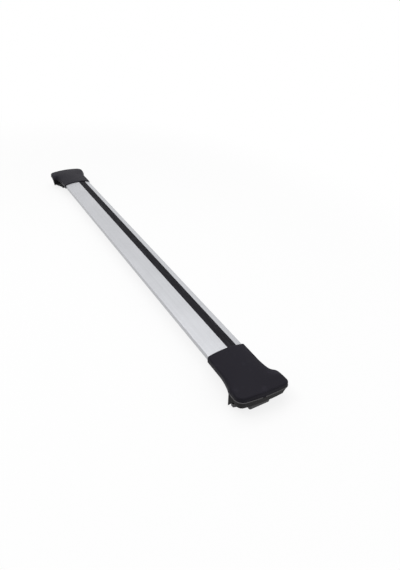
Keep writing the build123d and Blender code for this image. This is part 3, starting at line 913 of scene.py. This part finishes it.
def hook_mesh(surface, end):
    """The two catch hooks under a cover. Each is a barbed outline, across and up, carried along the bar by
    the hook's length, with its root in the middle of the cover's wall."""
    form = surface.form
    start, inner, low = form.hook_place
    length, thickness, rise = form.hook_size
    outer = inner + thickness
    root = [0, -1]
    outwards = np.array([[start], [start + length]])
    across = np.array([inner, inner, outer, outer + form.hook_barb, outer, outer])
    levels = np.array([0.0, low, low, low + rise, low + rise, 0.0])
    hooks = []
    for side in (-1.0, 1.0):
        plan = np.stack(np.broadcast_arrays(outwards, side * across), axis=-1)
        height = np.broadcast_to(levels, plan.shape[:2]).copy()
        height[:, root] = (surface.crown(plan) - form.wall / 2)[:, root]
        hooks.append(surface.placed(np.concatenate([plan, height[..., None]], axis=-1), end))
    points = np.stack(hooks)
    index = np.arange(points.size // 3).reshape(points.shape[:3])
    near, far = index[:, 0], index[:, 1]
    around = np.stack([near, np.roll(near, -1, 1), np.roll(far, -1, 1), far], axis=-1).reshape(-1, 4)
    mesh = bpy.data.meshes.new("hooks")
    mesh.from_pydata(points.reshape(-1, 3).tolist(), [], around.tolist() + near.tolist() + far.tolist())
    return mesh


def join_hooks(shell, hooks):
    """Adds the hooks' faces to a cover's mesh, turned to face outwards."""
    work = bmesh.new()
    work.from_mesh(hooks)
    bmesh.ops.recalc_face_normals(work, faces=work.faces)
    work.to_mesh(hooks)
    work.free()
    work = bmesh.new()
    work.from_mesh(shell)
    work.from_mesh(hooks)
    work.to_mesh(shell)
    work.free()


def moulded_cover(name, mesh, hooks, wall, material):
    """A cover with its wall thickness and hooks, shaded smooth apart from its sharp edges."""
    raw = bpy.data.objects.new(name + "_raw", mesh)
    bpy.context.collection.objects.link(raw)
    solidify = raw.modifiers.new("wall", "SOLIDIFY")
    solidify.thickness = wall
    solidify.offset = -1.0
    shell = bpy.data.meshes.new_from_object(raw.evaluated_get(bpy.context.evaluated_depsgraph_get()))
    bpy.data.objects.remove(raw)
    join_hooks(shell, hooks)
    shell.shade_smooth()
    shell.set_sharp_from_angle(angle=SHARP_ANGLE)
    shell.materials.append(material)
    cover = bpy.data.objects.new(name, shell)
    bpy.context.collection.objects.link(cover)
    return cover


class CROSSBAR_OT_bar(bpy.types.Operator):
    """Finish the aluminium bar"""

    bl_idname = "crossbar.bar"
    bl_label = "Bar"

    def execute(self, context):
        dress("bar_profile", anodised_metal(context.scene.crossbar_bar))
        return {"FINISHED"}


class CROSSBAR_OT_strip(bpy.types.Operator):
    """Finish the ribbed rubber strip"""

    bl_idname = "crossbar.strip"
    bl_label = "Rubber strip"

    def execute(self, context):
        dress("rubber_strip", strip_rubber(context.scene.crossbar_bar))
        return {"FINISHED"}


class CROSSBAR_OT_feet(bpy.types.Operator):
    """Finish the moulded covers, bases and plugs"""

    bl_idname = "crossbar.feet"
    bl_label = "Feet"

    def execute(self, context):
        foot = context.scene.crossbar_foot
        form = context.scene.crossbar_cover
        cover = cover_plastic(foot, form)
        base = base_plastic(foot)
        for name, end in ENDS.items():
            node = name + "_foot_cover"
            surface = CoverSurface(form, node)
            meshes = cover_mesh(surface, end), hook_mesh(surface, end)
            piece = moulded_cover(name + "_moulded_cover", *meshes, form.wall, cover)
            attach(piece, "crossbar")
            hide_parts(node)
        for node in both_ends("foot_base", "bar_end_plug"):
            dress(node, base)
        return {"FINISHED"}


class CROSSBAR_OT_clamps(bpy.types.Operator):
    """Finish the jaws, pads, screws and nuts"""

    bl_idname = "crossbar.clamps"
    bl_label = "Clamps"

    def execute(self, context):
        foot = context.scene.crossbar_foot
        coat = coated_metal(foot)
        rubber = pad_rubber(foot)
        zinc = zinc_plate(foot)
        for node in both_ends("moving_jaw"):
            dress(node, coat)
        for node in both_ends("saddle_pad", "claw_pad", "jaw_pad"):
            dress(node, rubber)
        hardware = ("clamp_bolt", "bolt_washer", "bolt_clip", "clamp_nut", "bar_clamp_plate", "bar_screws")
        for node in both_ends(*hardware):
            dress(node, zinc)
        return {"FINISHED"}


def floor_paper(stage):
    """Pale paper that keeps a soft shadow near the bar and turns to plain white away from it. It is white
    where it is seen directly, and a mid grey for the rays that only carry light."""
    paint = Paint("floor_paper", Roughness=0.9, Specular_IOR_Level=0.0)
    direct = paint.seen_directly()
    paint.finish(Base_Color=paint.blend(direct, (stage.floor_bounce,) * 3, PAPER_COLOUR))
    x, y, _ = paint.axes()
    away = (x * x * SHADOW_NARROWING + y * y).ramp(*SHADOW_FADE)
    white = paint.make("ShaderNodeEmission", sockets={"Color": WHITE, "Strength": 1.0})
    lit = Wire(paint, paint.shader.outputs["BSDF"])
    whiteness = direct * (stage.floor_white + (1.0 - stage.floor_white) * away)
    mixed = paint.make("ShaderNodeMixShader", sockets={0: whiteness, 1: lit, 2: white})
    paint.tree.links.new(mixed.socket, paint.tree.nodes["Material Output"].inputs["Surface"])
    return paint.material


def facing(direction):
    """The turn of a lamp or a camera that faces in a direction."""
    return direction.to_track_quat("-Z", "Y").to_matrix().to_4x4()


def lamp(name, power, size, place, target):
    """A square soft lamp at a place, turned to a target."""
    light = bpy.data.lights.new(name, "AREA")
    light.energy = power
    light.size = size
    holder = bpy.data.objects.new(name, light)
    holder.matrix_world = Matrix.Translation(place) @ facing(Vector(target) - Vector(place))
    bpy.context.collection.objects.link(holder)


class CROSSBAR_OT_stage(bpy.types.Operator):
    """Lay the floor, hang the lamps and stand the camera"""

    bl_idname = "crossbar.stage"
    bl_label = "Stage"

    def execute(self, context):
        stage = context.scene.crossbar_stage
        self.lay_floor(stage)
        self.light_world(context.scene, stage)
        for name, setting in LAMPS.items():
            lamp(name + "_lamp", getattr(stage, name + "_power"), **setting)
        self.stand_camera(context.scene, stage)
        context.scene.view_settings.view_transform = "Standard"
        return {"FINISHED"}

    def lay_floor(self, stage):
        """A level square grid at the undersides of the claws: x and y run from -reach to +reach."""
        steps = np.linspace(-stage.floor_reach, stage.floor_reach, FLOOR_STEPS)
        x, y = np.meshgrid(steps, steps, indexing="ij")
        points = np.stack([x, y, np.zeros_like(x)], axis=-1).reshape(-1, 3)
        faces = grid_faces(np.arange(x.size).reshape(x.shape))
        mesh = bpy.data.meshes.new("floor")
        mesh.from_pydata(points.tolist(), [], faces.tolist())
        mesh.materials.append(floor_paper(stage))
        floor = bpy.data.objects.new("floor", mesh)
        bpy.context.collection.objects.link(floor)

    def light_world(self, scene, stage):
        """Even light from all round, which looks plain white where it is seen directly."""
        world = bpy.data.worlds.new("studio")
        world.use_nodes = True
        scene.world = world
        tree = Tree(world.node_tree)
        background = world.node_tree.nodes["Background"]
        strength = stage.ambient + (1.0 - stage.ambient) * tree.seen_directly()
        tree.join(background.inputs["Color"], WHITE)
        tree.join(background.inputs["Strength"], strength)

    def stand_camera(self, scene, stage):
        """The camera looks along its heading and dip, then turns by its roll."""
        level = math.cos(stage.camera_dip)
        forward = Vector((
            level * math.cos(stage.camera_heading),
            level * math.sin(stage.camera_heading),
            -math.sin(stage.camera_dip),
        ))
        camera = bpy.data.cameras.new("camera")
        camera.sensor_width = SENSOR_WIDTH
        camera.lens = stage.lens
        camera.clip_end = VIEW_REACH
        holder = bpy.data.objects.new("camera", camera)
        turn = facing(forward) @ Matrix.Rotation(stage.camera_roll, 4, "Z")
        holder.matrix_world = Matrix.Translation(stage.camera_place) @ turn
        bpy.context.collection.objects.link(holder)
        scene.camera = holder


class CROSSBAR_PT_panel(bpy.types.Panel):
    """Lists the finishing steps and their settings"""

    bl_label = "Crossbar"
    bl_idname = "CROSSBAR_PT_panel"
    bl_space_type = "VIEW_3D"
    bl_region_type = "UI"
    bl_category = "Crossbar"

    def draw(self, context):
        for operator in OPERATORS:
            self.layout.operator(operator.bl_idname)
        for group in [getattr(context.scene, name) for name in SETTINGS]:
            box = self.layout.box()
            for name in group.__annotations__:
                box.prop(group, name)


SETTINGS = {
    "crossbar_bar": BarFinish,
    "crossbar_foot": FootFinish,
    "crossbar_cover": CoverForm,
    "crossbar_stage": StageSettings,
}
OPERATORS = (CROSSBAR_OT_bar, CROSSBAR_OT_strip, CROSSBAR_OT_feet, CROSSBAR_OT_clamps, CROSSBAR_OT_stage)
CLASSES = (*SETTINGS.values(), *OPERATORS, CROSSBAR_PT_panel)


def register():
    """Adds the classes, and the settings to each scene."""
    for cls in CLASSES:
        bpy.utils.register_class(cls)
    for name, group in SETTINGS.items():
        setattr(bpy.types.Scene, name, PointerProperty(type=group))


def unregister():
    """Takes the settings and the classes away again."""
    for name in SETTINGS:
        delattr(bpy.types.Scene, name)
    for cls in reversed(CLASSES):
        bpy.utils.unregister_class(cls)


def main():
    """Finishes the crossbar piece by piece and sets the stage."""
    register()
    bpy.ops.crossbar.bar()
    bpy.ops.crossbar.strip()
    bpy.ops.crossbar.feet()
    bpy.ops.crossbar.clamps()
    bpy.ops.crossbar.stage()


if __name__ == "__main__":
    main()
